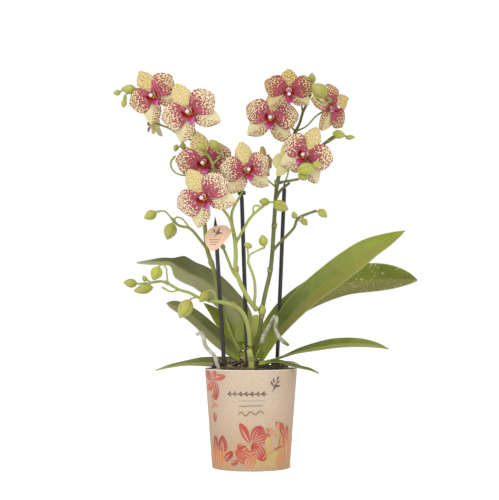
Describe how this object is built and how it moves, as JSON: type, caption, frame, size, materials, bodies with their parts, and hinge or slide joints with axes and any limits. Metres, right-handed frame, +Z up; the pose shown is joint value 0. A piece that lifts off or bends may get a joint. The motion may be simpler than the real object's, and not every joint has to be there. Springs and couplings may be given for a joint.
{
  "type": "potted orchid",
  "caption": "Branching miniature moth orchid with speckled flowers, buds, leaves and stakes in a tapered kraft card pot sleeve.",
  "frame": {"origin": "middle of the sleeve's flat bottom, on the surface that the pot stands on", "axes": "+Z up out of the pot, -Y towards the side that the flowers face, +X to the viewer's right"},
  "size_m": [0.3073, 0.1095, 0.3933],
  "materials": {
    "kraft_card": "matte printed kraft card",
    "pot_plastic": "thin dark moulded plastic",
    "bark": "rough bark chips and moss",
    "stake_plastic": "dark satin plastic",
    "tag_card": "peach matte card",
    "leaf": "waxy green leaf",
    "stem": "fresh yellow-green stem",
    "bud": "smooth yellow-green bud",
    "root": "silvery aerial root",
    "tepal": "cream petal with crimson speckles",
    "lip": "crimson and violet lip"
  },
  "bodies": {
    "root": {"pot_sleeve": "kraft_card", "grow_pot": "pot_plastic", "bark_substrate": "bark", "stake_left": "stake_plastic", "stake_middle": "stake_plastic", "stake_right": "stake_plastic", "stake_clip": "stake_plastic", "label_tag": "tag_card", "crown": "stem", "cut_spike_stub": "stem", "spike_left": "stem", "spike_middle": "stem", "spike_right": "stem", "spike_low": "stem", "leaf_upper_left": "leaf", "leaf_middle_left": "leaf", "leaf_low_left": "leaf", "leaf_inner_left": "leaf", "leaf_young": "leaf", "leaf_front_right": "leaf", "leaf_back_right": "leaf", "leaf_low_right": "leaf", "leaf_rim_right": "leaf", "root_left": "root", "root_right_inner": "root", "root_right_outer": "root", "root_rim": "root", "bud_left_arch": "bud", "bud_left_tip": "bud", "bud_low_large": "bud", "bud_low_upper": "bud", "bud_low_end": "bud", "bud_top_large": "bud", "bud_middle_large": "bud", "bud_middle_round": "bud", "flower_1_tepals": "tepal", "flower_1_lip": "lip", "flower_2_tepals": "tepal", "flower_2_lip": "lip", "flower_3_tepals": "tepal", "flower_3_lip": "lip", "flower_4_tepals": "tepal", "flower_4_lip": "lip", "flower_5_tepals": "tepal", "flower_5_lip": "lip", "flower_6_tepals": "tepal", "flower_6_lip": "lip", "flower_7_tepals": "tepal", "flower_7_lip": "lip", "flower_8_tepals": "tepal", "flower_8_lip": "lip", "flower_9_tepals": "tepal", "flower_9_lip": "lip", "flower_10_tepals": "tepal", "flower_10_lip": "lip", "flower_11_tepals": "tepal", "flower_11_lip": "lip", "flower_12_tepals": "tepal", "flower_12_lip": "lip"}
  },
  "joints": []
}
